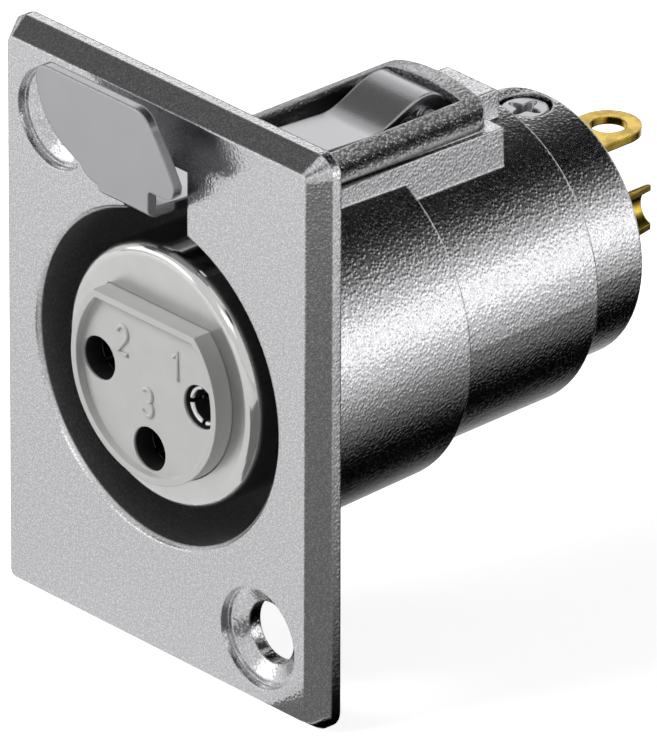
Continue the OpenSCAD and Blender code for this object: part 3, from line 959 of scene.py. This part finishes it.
@dataclass(frozen=True)
class ContactNumbers:
    """The plain contact numbers on the insulator's nose, as thin raised strokes."""

    height_mm: float = 1.60
    width_mm: float = 0.86
    stroke_mm: float = 0.26
    stroke_sides: int = 10
    floor_y_mm: float = -0.45
    sink_mm: float = -0.01
    places_mm: tuple[tuple[str, float, float], ...] = (
        ("1", 2.14, 1.66), ("2", -2.09, 1.69), ("3", -0.11, -1.29))

    def strokes(self, digit: str) -> list[Pair]:
        """Return a digit's line in a unit box.

        Args:
            digit: "1", "2" or "3".

        Returns:
            The line's points, from 0 to 1.
        """
        def bow(cx: float, cy: float, rx: float, ry: float, a0: float, a1: float,
                n: int = 12) -> list[Pair]:
            """Return n + 1 points on an arc round (cx, cy), from a0 to a1 degrees."""
            turn = [math.radians(a0 + (a1 - a0) * i / n) for i in range(n + 1)]
            return [(cx + rx * math.cos(t), cy + ry * math.sin(t)) for t in turn]

        if digit == "1":
            return [(0.25, 0.80), (0.6, 1.0), (0.6, 0.0)]
        if digit == "2":
            return bow(0.5, 0.72, 0.45, 0.28, 170, -35) + [(0.05, 0.0), (0.98, 0.0)]
        return bow(0.45, 0.75, 0.42, 0.25, 150, -90) + bow(0.45, 0.27, 0.5, 0.27, 90, -155)

    def lines(self) -> bpy.types.Mesh:
        """Return the three numbers as lines of edges."""
        points: list[Point] = []
        edges: list[tuple[int, int]] = []
        for digit, x, z in self.places_mm:
            start = len(points)
            for u, v in self.strokes(digit):
                points.append(((x + (u - 0.5) * self.width_mm) * MM,
                               (self.floor_y_mm + self.sink_mm) * MM,
                               (z + (v - 0.5) * self.height_mm) * MM))
            edges += [(i, i + 1) for i in range(start, len(points) - 1)]
        mesh = bpy.data.meshes.new("number_lines")
        mesh.from_pydata(points, edges, [])
        return mesh

    def build(self, material: bpy.types.Material) -> None:
        """Make the three numbers as one piece.

        Args:
            material: The insulator's material.
        """
        tree = NodeTree("number_strokes", [("Stroke radius", "NodeSocketFloat"),
                                           ("Sides", "NodeSocketInt"),
                                           ("Material", "NodeSocketMaterial")])
        line = tree.node("GeometryNodeMeshToCurve", {}, {"Mesh": tree.start["Geometry"]})
        ring = tree.node("GeometryNodeCurvePrimitiveCircle", {"mode": "RADIUS"},
                         {"Resolution": tree.start["Sides"],
                          "Radius": tree.start["Stroke radius"]})
        tube = tree.node("GeometryNodeCurveToMesh", {},
                         {"Curve": line, "Profile Curve": ring, "Fill Caps": True})
        tree.close(tube)
        mesh = tree.run(self.lines(), {"Stroke radius": self.stroke_mm * MM / 2,
                                       "Sides": self.stroke_sides, "Material": material})
        mesh.name = "contact_numbers"
        add_mesh("contact_numbers", mesh, material, Body.HOUSING)


@dataclass(frozen=True)
class SocketLeaves:
    """Sprung leaves that close in round the mouth of the first contact."""

    place_mm: Pair = (3.95, -0.1)
    leaves: int = 4
    steps: int = 10
    gap_deg: float = 15.0
    outer_mm: float = 1.19
    wall_mm: float = 0.34
    mouth_y_mm: float = -0.20
    root_y_mm: float = 2.0
    lip_mm: float = 0.14

    def leaf(self) -> bpy.types.Mesh:
        """Return one leaf of the split tube, round the Y axis, in its place along it."""
        span = math.radians(360.0 / self.leaves - self.gap_deg)
        inner = self.outer_mm - self.wall_mm
        profile = [(self.outer_mm, self.root_y_mm), (self.outer_mm, self.mouth_y_mm + self.lip_mm),
                   (self.outer_mm - self.lip_mm / 2, self.mouth_y_mm + self.lip_mm / 4),
                   (self.outer_mm - self.lip_mm, self.mouth_y_mm),
                   (inner + self.lip_mm / 2, self.mouth_y_mm + self.lip_mm / 4),
                   (inner, self.mouth_y_mm + self.lip_mm), (inner, self.root_y_mm)]
        shape = bmesh.new()
        rows = []
        for i in range(self.steps + 1):
            a = span * (i / self.steps - 0.5)
            rows.append([shape.verts.new((r * math.cos(a) * MM, y * MM, r * math.sin(a) * MM))
                         for r, y in profile])
        count = len(profile)
        for near, far in zip(rows, rows[1:]):
            for i in range(count):
                j = (i + 1) % count
                shape.faces.new((near[i], near[j], far[j], far[i]))
        shape.faces.new(rows[0])
        shape.faces.new(rows[-1][::-1])
        bmesh.ops.recalc_face_normals(shape, faces=shape.faces)
        mesh = bpy.data.meshes.new("socket_leaf")
        shape.to_mesh(mesh)
        shape.free()
        return mesh

    def build(self, material: bpy.types.Material) -> None:
        """Make the leaves as one piece.

        Args:
            material: The contact's material.
        """
        tree = NodeTree("leaf_ring", [("Leaves", "NodeSocketInt"),
                                      ("Turn per leaf", "NodeSocketFloat"),
                                      ("First turn", "NodeSocketFloat"),
                                      ("Material", "NodeSocketMaterial")])
        points = tree.node("GeometryNodePoints", {}, {"Count": tree.start["Leaves"]})
        index = tree.node("GeometryNodeInputIndex", {}, {})
        turn = tree.node("ShaderNodeMath", {"operation": "MULTIPLY_ADD"},
                         {0: index, 1: tree.start["Turn per leaf"], 2: tree.start["First turn"]})
        angle = tree.node("ShaderNodeCombineXYZ", {}, {"Y": turn})
        ring = tree.node("GeometryNodeInstanceOnPoints", {},
                         {"Points": points, "Instance": tree.start["Geometry"],
                          "Rotation": angle})
        x, z = self.place_mm
        placed = tree.node("GeometryNodeTransform", {},
                           {"Geometry": ring, "Translation": (x * MM, 0.0, z * MM)})
        tree.close(placed)
        step = 2.0 * math.pi / self.leaves
        mesh = tree.run(self.leaf(), {"Leaves": self.leaves, "Turn per leaf": step,
                                      "First turn": step / 2, "Material": material})
        mesh.name = "socket_leaves"
        add_mesh("socket_leaves", mesh, material, Body.HOUSING)


@dataclass(frozen=True)
class CrossScrew:
    """The retaining screw, with its tapered cross recess and rounded head.

    The recess's walls are pairs of share of its width and depth below the head, in mm.
    """

    y_mm: float = 26.5
    seat_z_mm: float = 5.95
    head_r_mm: float = 1.35
    head_t_mm: float = 1.30
    shank_r_mm: float = 0.95
    shank_len_mm: float = 3.2
    edge_mm: float = 0.16
    recess_core_mm: float = 0.48
    recess_lobe_mm: float = 0.56
    recess_lobes: int = 4
    recess_sharpness: float = 1.6
    recess_walls: Stops = ((1.0, 0.0), (0.93, 0.06), (0.75, 0.4), (0.52, 0.72))
    tip_taper: float = 0.7
    tip_mm: float = 0.25
    turn_deg: float = 12.0
    sides: int = 96

    def rings(self) -> list[list[Point]]:
        """Return the screw's rings of points, from the tip to the floor of the recess."""
        top = self.seat_z_mm + self.head_t_mm
        tip = self.seat_z_mm - self.shank_len_mm
        angles = [2.0 * math.pi * i / self.sides for i in range(self.sides)]

        def recess(a: float) -> float:
            """Return the recess's radius at angle a."""
            turned = a - math.radians(self.turn_deg)
            wave = 0.5 + 0.5 * math.cos(self.recess_lobes * turned)
            return self.recess_core_mm + self.recess_lobe_mm * wave ** self.recess_sharpness

        plain = [(self.tip_taper * self.shank_r_mm, tip), (self.shank_r_mm, tip + self.tip_mm),
                 (self.shank_r_mm, self.seat_z_mm), (self.head_r_mm, self.seat_z_mm),
                 (self.head_r_mm, top - self.edge_mm)]
        plain += [(self.head_r_mm - self.edge_mm * (1.0 - math.cos(t)),
                   top - self.edge_mm * (1.0 - math.sin(t)))
                  for t in (math.pi / 6, math.pi / 3, math.pi / 2)]
        rows = [[(r * math.cos(a), r * math.sin(a), z) for a in angles] for r, z in plain]
        for share, deep in self.recess_walls:
            rows.append([(share * recess(a) * math.cos(a), share * recess(a) * math.sin(a),
                          top - deep) for a in angles])
        return rows

    def build(self, material: bpy.types.Material) -> None:
        """Make the screw in the place of its plain solid.

        Args:
            material: The screw's material.
        """
        shape = bmesh.new()
        rows = [[shape.verts.new((x * MM, (y + self.y_mm) * MM, z * MM)) for x, y, z in ring]
                for ring in self.rings()]
        for low, high in zip(rows, rows[1:]):
            for i in range(self.sides):
                j = (i + 1) % self.sides
                shape.faces.new((low[i], low[j], high[j], high[i]))
        shape.faces.new(rows[0][::-1])
        shape.faces.new(rows[-1])
        bmesh.ops.recalc_face_normals(shape, faces=shape.faces)
        mesh = bpy.data.meshes.new("cross_screw")
        shape.to_mesh(mesh)
        shape.free()
        screw = add_mesh("cross_screw", mesh, material, Body.HOUSING)
        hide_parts("retaining_screw")


class Connector:
    """The whole connector."""

    def build(self) -> None:
        """Dress the CAD nodes and add the small details."""
        dress("shell", CastNickel().material())
        dress("mating_sleeve", PolishedNickel().material())
        grey = Moulding("grey_moulding", color=(0.56, 0.56, 0.55), shade=(0.50, 0.50, 0.49),
                        holes_from_mm=-0.40).material()
        Nose().build(grey)
        black = Moulding("black_moulding", color=(0.028, 0.028, 0.028),
                         shade=(0.02, 0.02, 0.02)).material()
        dress("rear_insulator", black)
        gold = ContactPlate().material()
        # Painted shade: the sockets of contacts 2 and 3 lie in the dark, so their mouths are painted black
        shaded_mouth_plate = ContactPlate("gold_plate_painted_shade_mouth", mouth=(0.05, 0.05, 0.05)).material()
        for node, plate in (("contact_1", gold), ("contact_2", shaded_mouth_plate), ("contact_3", shaded_mouth_plate),
                            ("ground_lug", gold)):
            dress(node, plate)
        dress("latch_lever", SatinStrip().material())
        steel = SatinStrip("screw_steel", arm=(0.40, 0.40, 0.41), roughness=0.2,
                           edge_mm=0.06).material()
        dress("latch_pin", steel)
        CrossScrew().build(steel)
        ContactNumbers().build(grey)
        SocketLeaves().build(gold)


def main() -> None:
    """Build the studio and the connector."""
    logging.basicConfig(level=logging.INFO, format="%(message)s")
    bpy.context.scene.view_settings.view_transform = "Standard"
    Studio().build()
    Connector().build()


if __name__ == "__main__":
    main()
